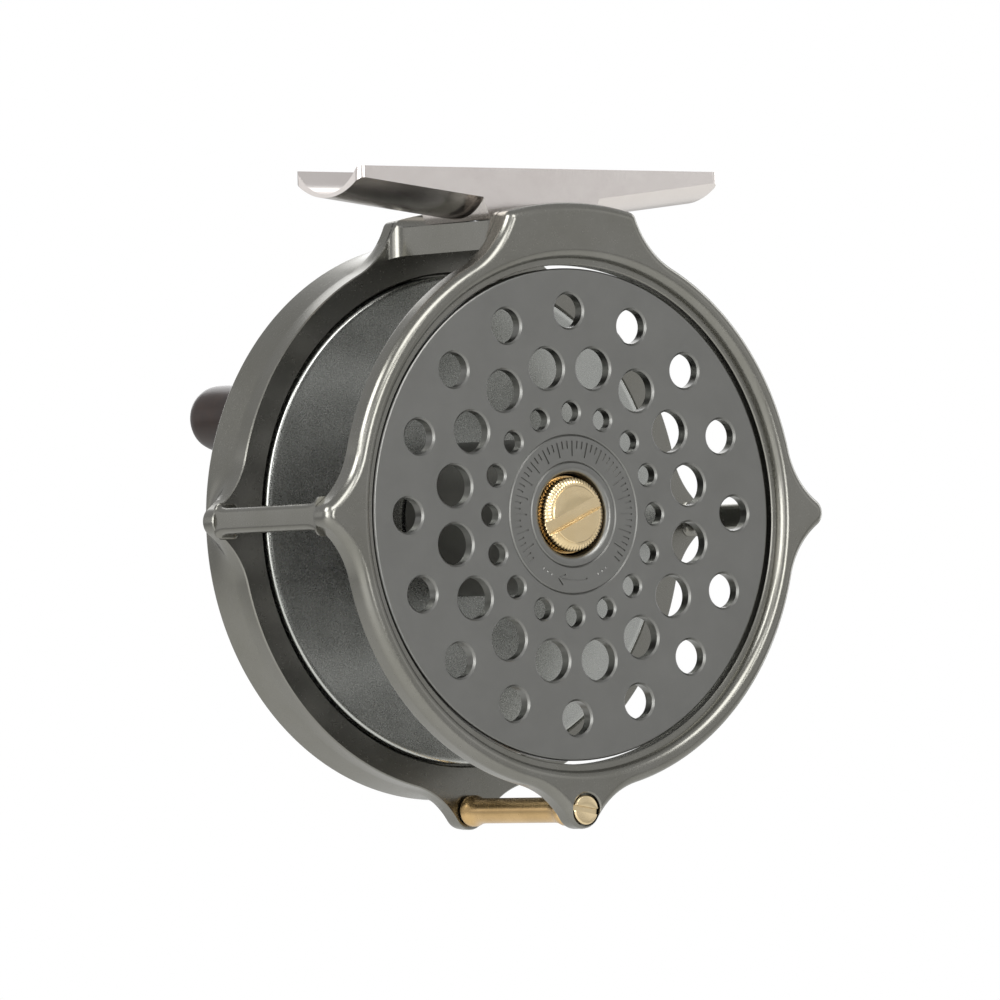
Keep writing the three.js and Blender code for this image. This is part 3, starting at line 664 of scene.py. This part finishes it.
def housing_wall(outline):
    """The back plate and the housing in one skin: the lobed outline melts into a barrel.

    Each step is an extrusion of the outline, whose vertices then move in or out along their
    radii: lobed says how much of the lobes is left, and swell how far the wall stands out.
    """
    polar = sorted((math.atan2(z, x), math.hypot(x, z)) for x, z in outline)
    angles = [angle for angle, _ in polar]
    rim_end, melt_start, melt_end, barrel, shoulder = 27.3, 28.4, 33.0, 0.9, 1.9
    bevel, first_lobed, first_swell, melts = 0.17, 0.97, 0.05, 12
    steps = [(PLATE_FRONT, 1.0, -bevel), (PLATE_FRONT + bevel, 1.0, 0.0), (rim_end, 1.0, 0.0),
             (melt_start, first_lobed, first_swell)]
    for i in range(1, melts + 1):
        part = i / melts
        steps.append((melt_start + (melt_end - melt_start) * part, first_lobed * (1 - part) ** 2,
                      first_swell + (barrel - first_swell) * part))
    for i in range(1, 10):
        turn = math.radians(10 * i)
        back = HOUSING_BACK - shoulder * (1 - math.sin(turn))
        steps.append((max(melt_end, back), 0, barrel - shoulder * (1 - math.cos(turn))))
    piece = faced("housing", [spot(x, PLATE_FRONT, z) for x, z in outline])

    def reshape(lobed, swell):
        shape = bmesh.from_edit_mesh(piece.data)
        for vertex in shape.verts:
            if vertex.select:
                offset = vertex.co - AXIS
                angle = math.atan2(offset.z, offset.x)
                near = bisect.bisect_left(angles, angle - 1e-5) % len(polar)
                radius = RING_RADIUS + (polar[near][1] - RING_RADIUS) * lobed + swell
                vertex.co.x = AXIS.x + radius * math.cos(angle) * MM
                vertex.co.z = AXIS.z + radius * math.sin(angle) * MM
        bmesh.update_edit_mesh(piece.data)

    reshape(0, BORE_RADIUS + 0.15 - RING_RADIUS)
    before = PLATE_FRONT
    for y, lobed, swell in steps:
        extrude(0, y - before, 0)
        reshape(lobed, swell)
        before = y
    return end_editing(piece)


def drum_bore():
    """The cutter for the drum's room: a coved mouth, the bore, and a shallow relief at its end.

    The relief ends just past the back plate's front face, so that no corner lies on that face.
    """
    start, end, mouth, cove, cove_end, relief = -4, 28, 37.45, 1.4, -0.45, 0.35
    profile = [(0, start), (mouth + 0.15, start), (mouth, RING_FRONT)]
    profile += curve_in((mouth + 0.05, cove_end), cove, -95, -180, 6)[1:]
    profile += [
        (BORE_RADIUS + 0.15, cove_end), (BORE_RADIUS, cove_end + 0.15), (BORE_RADIUS, 24.5),
        (BORE_RADIUS + relief, 24.8), (BORE_RADIUS + relief, PLATE_FRONT - 0.1),
        (BORE_RADIUS, PLATE_FRONT + 0.25), (BORE_RADIUS, end), (0, end)]
    return turned("bore", profile, steps=360)


def housing_cavity():
    """The cutter for the room behind the back plate, round the boss that carries the race."""
    boss, boss_back, wall = 13.5, 31.9, 36.9
    lip = wall + 0.3
    return turned("cavity", [
        (boss, PLATE_BACK), (wall, PLATE_BACK), (wall, HOUSING_BACK - 0.3), (lip, HOUSING_BACK + 0.1),
        (lip, HOUSING_BACK + SPARE), (0, HOUSING_BACK + SPARE), (0, boss_back), (boss, boss_back),
        ], steps=240, closed=True)


def roller_screw_seat():
    """The cutter for the roller screw: a chamfered pocket for its head, and its shank's hole."""
    start, end, pocket, pocket_end, shank, chamfer = -4, 28.9, 2.38, -0.6, 1.35, 0.22
    return turned("screw_seat", [
        (0, start), (pocket + chamfer, start), (pocket + chamfer, RING_FRONT),
        (pocket, RING_FRONT + chamfer), (pocket, pocket_end), (shank, pocket_end), (shank, end), (0, end),
        ], steps=48, centre=(0, ROLLER_Z))


def make_frame(looks):
    """The casting in one piece: ring, back plate and housing, pillars and bridge, then its bores."""
    outline = frame_outline()
    front_round, back_round, race_radius, regulator_radius = 1.35, 0.8, 11.3, 1.5
    casting = plate("frame_casting", outline, RING_FRONT, RING_BACK, front_round, back_round, 6)
    casting = weld(casting, housing_wall(outline))
    for side in (1, -1):
        casting = weld(casting, pillar(side))
    casting = weld(casting, bridge(outline))
    casting = cut(casting, drum_bore())
    casting = cut(casting, housing_cavity())
    casting = cut(casting, rod("race_seat", race_radius, 27, 33, 96))
    casting = cut(casting, roller_screw_seat())
    hole = rod("regulator_hole", regulator_radius, 35, 42, 32)
    turn_about(hole, -90, "Z")
    shift(hole, 0, REGULATOR_Y, 0)
    casting = cut(casting, hole)
    tidy_normals(casting)
    present(casting, "frame", looks["anodised"], ["frame"], smooth=30)


# ---- foot ----

def lengthways(name, radius):
    """A cylinder along the foot, longer than the foot, through the reel's axis."""
    bar = rod(name, radius, -60, 60, 360)
    turn_about(bar, 90, "Z")
    return bar


def foot_arm(side):
    """One arm of the foot, whose rounded underside rises towards its tip."""
    taper, belly, tip_height = 6.9, 13.0, 4.15
    left, right = sorted((side * FOOT_HALF_LENGTH, 0))
    arm = block("arm", (left, FOOT_FRONT, FOOT_BOTTOM), (right, FOOT_BACK, FOOT_TOP))
    underside = lengthways("underside", belly)
    turn_about(underside, -side * taper)
    belly_height = belly / math.cos(math.radians(taper))
    shift(underside, side * FOOT_HALF_LENGTH, FOOT_MIDDLE_Y, FOOT_TOP - tip_height + belly_height)
    return combine(arm, underside, "INTERSECT")


def stand_up(piece, side):
    """Stands a turned piece upright on the line of a foot screw."""
    turn_about(piece, 90, "X")
    shift(piece, side * FOOT_SCREW_X, FOOT_MIDDLE_Y, 0)


def make_foot(looks):
    """The saddle foot: two arms with rounded, tapering undersides, a block, and a trough on top."""
    foot = weld(foot_arm(1), foot_arm(-1))
    foot.name = "saddle_foot"
    half_low, half_high, straight, corner = 9.05, 10.6, 3.1, 1.1
    body = [(-half_low, FOOT_BOTTOM), (half_low, FOOT_BOTTOM), (half_high, FOOT_TOP - straight),
            (half_high, FOOT_TOP), (-half_high, FOOT_TOP), (-half_high, FOOT_TOP - straight)]
    foot = weld(foot, plate("foot_block", body, FOOT_FRONT, FOOT_BACK))
    plan = rounded_corners(FOOT_HALF_LENGTH, FOOT_HALF_WIDTH, corner, 10)
    places = [spot(x, FOOT_MIDDLE_Y + y, FOOT_BOTTOM - SPARE) for x, y in plan]
    foot = combine(foot, filled("plan", places, (0, 0, 12)), "INTERSECT")
    trough = lengthways("trough", TROUGH_RADIUS)
    shift(trough, 0, FOOT_MIDDLE_Y, SEAT + TROUGH_RADIUS)
    foot = cut(foot, trough)
    hole, sink = 1.7, 2.9
    for side in (1, -1):
        cutter = turned("screw_hole", [
            (0, 0), (hole, 0), (hole, SEAT - 1.8), (sink, SEAT - 0.5), (sink, SEAT + SPARE),
            (0, SEAT + SPARE)], steps=48)
        stand_up(cutter, side)
        foot = cut(foot, cutter)
    tidy_normals(foot)
    soften(foot, 0.28, 3, 40)
    present(foot, "frame", looks["silver"], ["reel_foot"], smooth=35)
    for side, node in ((-1, "foot_screw_left"), (1, "foot_screw_right")):
        foot_screw(side, node, looks)


def foot_screw(side, node, looks):
    """A countersunk screw with a slot, its head just below the trough."""
    shank, shank_end, slot_half, lean = 1.4, 40, 0.35, 12
    screw = turned(node + "_fine", [
        (0, shank_end), (shank, shank_end), (shank, SEAT - 2.1), (2.5, SEAT - 0.9), (2.55, SEAT - 0.5),
        (2.4, SEAT - 0.32), (0, SEAT - 0.25)], steps=48)
    slot = block("slot", (-3, SEAT - 0.9, -slot_half), (3, SEAT + SPARE, slot_half))
    turn_about(slot, 90 + lean * side)
    cut(screw, slot)
    stand_up(screw, side)
    soften(screw, 0.06, 2, 40)
    present(screw, "frame", looks["steel"], [node])


# ---- line roller ----

def make_roller(looks):
    """The waisted brass line roller and the slotted screw that it turns on."""
    bore, lip, waist, start, end = 1.35, 2.25, 1.8, ROLLER_START, ROLLER_END
    half = [(bore, 0), (lip - 0.15, 0), (lip, 0.15), (lip, 0.8), (2.12, 1.2), (1.95, 1.7),
            (waist + 0.06, 2.3), (waist, 3.2)]
    profile = [(r, start + y) for r, y in half] + [(r, end - y) for r, y in reversed(half)]
    roller = turned("line_roller_fine", profile, steps=96, centre=(0, ROLLER_Z), closed=True)
    present(roller, "roller", looks["old_brass"], ["line_roller"], smooth=40)
    face, head, head_end, shank, shank_end = -1.7, 2.1, -0.9, 1.05, 28.5
    screw = turned("roller_screw_fine", [
        (0, face), (head - 0.2, face), (head, face + 0.2), (head, head_end), (shank, head_end),
        (shank, shank_end), (0, shank_end)], steps=64, centre=(0, ROLLER_Z))
    slot = block("slot", (-3, face - SPARE, ROLLER_Z - 0.4), (3, face + 0.55, ROLLER_Z + 0.4))
    turn_about(slot, 10, pivot=spot(0, 0, ROLLER_Z))
    cut(screw, slot)
    soften(screw, 0.06, 2, 40)
    present(screw, "frame", looks["brass"], ["roller_screw"])


# ---- drum ----

def hole_cutter(ring, radius, start):
    """A cutter for one hole of the drum's face, with a fine chamfer at both mouths."""
    lip = 0.28
    half = [(0, -SPARE), (radius + lip, -SPARE), (radius + lip, 0), (radius, lip)]
    profile = half + [(r, DRUM_THICKNESS - y) for r, y in reversed(half)]
    angle = math.radians(start)
    centre = (ring * math.cos(angle), ring * math.sin(angle))
    return turned("hole", profile, steps=48, centre=centre)


def ring_spot(radius, angle):
    """Where a mark stands: (x, z) at an angle in degrees from the lowest point of its ring."""
    a = math.radians(angle)
    return radius * math.sin(a), -radius * math.cos(a)


def engraving():
    """Cutters for the marks round the hub: ticks like a dial's, and an arrow between dots."""
    depth, wide, inner, outer = 0.16, 0.12, 8.2, 10.4
    tick_step, long_every, dial_half = 5, 3, 132
    track = (inner + outer) / 2
    marks = []
    for i in range(360 // tick_step):
        from_top = tick_step * i - 180
        if abs(from_top) > dial_half:
            continue
        low = inner if i % long_every == 0 else track
        tick = block("tick", (-wide, -SPARE, low), (wide, depth, outer))
        turn_about(tick, from_top)
        marks.append(tick)
    shaft_half, shaft_reach, tip, lean = 0.11, 14, -19, 32
    sweep = range(-shaft_reach, shaft_reach + 1, 2)
    shaft = [ring_spot(track + shaft_half, angle) for angle in sweep]
    shaft += [ring_spot(track - shaft_half, angle) for angle in reversed(sweep)]
    marks.append(plate("shaft", shaft, -SPARE, depth))
    x, z = ring_spot(track, tip)
    for side in (1, -1):
        stroke = block("stroke", (-wide, -SPARE, 0.3), (wide, depth, 1.5))
        turn_about(stroke, 90 - tip + side * lean)
        shift(stroke, x, 0, z)
        marks.append(stroke)
    dot = [(0, -SPARE), (0.24, -SPARE), (0.24, 0.06), (0, depth)]
    for side in (1, -1):
        for angle in (26, 31, 36):
            marks.append(turned("dot", dot, steps=12, centre=ring_spot(track, side * angle)))
    return joined(marks)


def make_drum(looks):
    """The drum: a perforated and engraved face, the arbor, and a dished back plate."""
    hub, back, radius, groove = 5.8, DRUM_THICKNESS, DRUM_RADIUS + 0.08, 0.18
    profile = [(hub, 1.0)] + curve_in((hub + 0.9, 0.9), 0.9, 180, 270, 8) + [(hub + 1.1, 0)]
    for line in (7.4, 11.2):
        profile += [(line - groove, 0), (line, groove * 0.9), (line + groove, 0)]
    profile += [(radius - 0.6, 0), (radius - 0.4, 0)]
    profile += curve_in((radius - 0.35, 0.35), 0.35, -90, 0, 5)
    profile += [(radius, back - 0.3), (radius - 0.3, back), (radius - 0.6, back), (hub, back)]
    face = turned("drum_face", profile, steps=360, closed=True)
    # Each ring of sixteen holes: the ring's radius, the holes' radius and where the first one is
    rings = [(28.73, 2.45, 90), (20.97, 2.93, 101.25), (14.4, 1.48, 90)]
    holes = joined([ring_of(hole_cutter(*ring), 16) for ring in rings])
    cut(face, holes)
    cut(face, engraving())
    tidy_normals(face)
    present(face, "drum", looks["blasted"], ["drum_face_plate"])
    inner, outer, start = 9.4, 11, back + 0.3
    arbor = turned("drum_arbor_fine", [
        (inner, start), (outer, start), (outer, DRUM_BACK_FRONT), (inner, DRUM_BACK_FRONT)],
        steps=192, closed=True)
    soften(arbor, 0.25, 3)
    present(arbor, "drum", looks["dark"], ["drum_arbor"])
    front, rim = DRUM_BACK_FRONT, DRUM_BACK_RADIUS
    dish = turned("drum_back", [
        (hub, front + 0.4), (12, front + 0.4), (20, front + 0.38), (26, front + 0.33), (30, front + 0.23),
        (32.5, front + 0.12), (34, front + 0.02), (34.5, front), (34.75, front + 0.07),
        (34.87, front + 0.2), (rim, front + 0.4), (rim, DRUM_BACK_BACK - 0.2),
        (rim - 0.2, DRUM_BACK_BACK), (hub, DRUM_BACK_BACK)], steps=360, closed=True)
    present(dish, "drum", looks["dish"], ["drum_back_plate"], smooth=50)


def ribbed(radius, depth, ribs):
    """The outline of a knurled rim, as points of (x, z)."""
    points = []
    for i in range(2 * ribs):
        out, angle = radius - depth * (i % 2), math.pi * i / ribs
        points.append((out * math.cos(angle), out * math.sin(angle)))
    return points


def make_drum_screw(looks):
    """The knurled and slotted brass screw in the middle of the drum's face."""
    rim, knurl, teeth, face_radius, face_y, back = 5.25, 0.2, 60, 4.05, -0.9, 1.4
    screw = faced("drum_screw_fine", [spot(x, back, z) for x, z in ribbed(rim, knurl, teeth)])
    # Each step of the rounded rim: where it lies, and its size over the rim's full size
    steps = [(back, 1.0), (0.15, 1.0), (-0.15, 0.975), (-0.45, 0.905), (-0.65, 0.82)]
    for before, after in zip(steps, steps[1:]):
        extrude(0, after[0] - before[0], 0)
        scale = after[1] / before[1]
        bpy.ops.transform.resize(value=(scale, 1, scale), center_override=AXIS)
    end_editing(screw)
    shank, shank_end = 1.45, 11
    head = turned("head", [
        (0, face_y), (face_radius - 0.12, face_y), (face_radius, face_y + 0.12),
        (face_radius, back + 0.1), (shank, back + 0.3), (shank, shank_end), (0, shank_end)], steps=128)
    screw = weld(screw, head)
    slot_half, slot_floor, slot_angle = 0.95, 0.05, -24
    slot = block("slot", (-7, face_y - SPARE, -slot_half), (7, slot_floor, slot_half))
    turn_about(slot, slot_angle)
    screw = cut(screw, slot)
    soften(screw, 0.05, 2, 60)
    present(screw, "screw", looks["brass"], ["drum_screw"])


# ---- handle plate and handle ----

def make_handle(looks):
    """The handle plate with its nut, and the turned grip and collar on their pin."""
    knob_axis = (KNOB_X, KNOB_Z)
    hub, hole = 3.8, 1.9
    front, back, edge = HANDLE_PLATE_FRONT, HANDLE_PLATE_BACK, HANDLE_PLATE_RADIUS
    disc = turned("handle_plate_fine", [
        (hub, front), (edge, front), (edge, back - 1.3), (edge - 0.25, back - 0.95),
        (edge - 0.8, back - 0.85), (edge - 1.6, back - 0.95), (edge - 2.2, back - 0.8),
        (edge - 7, back - 0.3), (20, back - 0.06), (9, back), (8.6, back - 0.15), (8.2, back),
        (hub, back)], steps=360, closed=True)
    cut(disc, rod("pin_hole", hole, 30, 40, 48, knob_axis))
    present(disc, "winder", looks["blasted"], ["handle_plate"])
    rim, slot_half = 5.6, 0.6
    nut = turned("spindle_nut_fine", [
        (hub, NUT_START), (rim, NUT_START), (rim, NUT_END - 0.7), (rim - 0.15, NUT_END - 0.3),
        (rim - 0.6, NUT_END), (hub, NUT_END)], steps=96, closed=True)
    notch = block("notch", (3, NUT_END - 0.7, -slot_half), (7, NUT_END + SPARE, slot_half))
    cut(nut, ring_of(notch, 2))
    soften(nut, 0.08, 2, 40)
    present(nut, "winder", looks["brass"], ["spindle_nut"])
    start, end, well = KNOB_START, KNOB_END, 2.9
    profile = [(hole, start), (3.9, start)] + curve_in((3.95, start + 0.5), 0.5, -90, 0, 4)
    profile += [
        (4.43, start + 2), (4.42, start + 4.5), (4.5, start + 7.5), (4.62, start + 10),
        (4.7, start + 12), (4.7, start + 13.6), (4.62, end - 1.9), (4.35, end - 1.1), (3.9, end - 0.45),
        (3.4, end - 0.1), (3.1, end), (well, end - 0.1), (well, end - 2.2), (hole, end - 2.2)]
    knob = turned("handle_grip", profile, steps=128, centre=knob_axis, closed=True)
    present(knob, "handle", looks["resin"], ["handle_knob"], smooth=45)
    near, far, collar_radius = reach("handle_collar", Y, LOW), reach("handle_collar", Y, HIGH), 4
    collar = turned("handle_collar_fine", [
        (hole, near), (collar_radius - 0.2, near), (collar_radius, near + 0.2),
        (collar_radius, far - 0.2), (collar_radius - 0.2, far), (hole, far)],
        steps=96, centre=knob_axis, closed=True)
    present(collar, "handle", looks["brass"], ["handle_collar"])
    shank, foot, head = 1.6, front + 0.3, end - 1.9
    pin = turned("handle_pin_fine", [
        (0, foot), (shank, foot), (shank, head), (2.6, head), (2.6, head + 0.5), (2.4, head + 0.85),
        (1.7, head + 1.15), (0, head + 1.3)], steps=64, centre=knob_axis)
    present(pin, "winder", looks["steel"], ["handle_pin"])


# ---- regulator and the pieces inside the housing ----

def make_regulator(looks):
    """The check's slotted and knurled regulator screw, in the housing's right side."""
    ribs, knurl, head_length, shank, slot_half = 16, 0.25, 2.6, 1, 0.35
    low, high = reach("regulator_screw", X, LOW), reach("regulator_screw", X, HIGH)
    radius = (reach("regulator_screw", Z, HIGH) - reach("regulator_screw", Z, LOW)) / 2
    start = high - head_length
    head = plate("regulator_screw_fine", ribbed(radius, knurl, ribs), start, high, 0.15, 0.3, 2)
    head = weld(head, rod("shank", shank, low, start + 0.5, 32))
    head = cut(head, block("slot", (-3, high - 0.6, -slot_half), (3, high + SPARE, slot_half)))
    turn_about(head, -90, "Z")
    shift(head, 0, REGULATOR_Y, 0)
    present(head, "regulator", looks["brass"], ["regulator_screw"])


def dress_inner_nodes(looks):
    """The race, the check and the spindle keep their CAD shapes and take real finishes."""
    brass = ["drum_hub", "ball_cage", "pawl_post", "spring_post"]
    steel = ["spindle", "race_cup", "race_cone", "check_wheel", "check_pawl", "check_spring"]
    steel += [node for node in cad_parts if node.startswith("ball_") and node != "ball_cage"]
    for nodes, finish in ((brass, looks["old_brass"]), (steel, looks["steel"])):
        for node in nodes:
            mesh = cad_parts[node].data
            mesh.materials.clear()
            mesh.materials.append(finish)


make_camera()
looks = make_materials()
make_studio()
make_frame(looks)
make_foot(looks)
make_roller(looks)
make_drum(looks)
make_drum_screw(looks)
make_handle(looks)
make_regulator(looks)
dress_inner_nodes(looks)
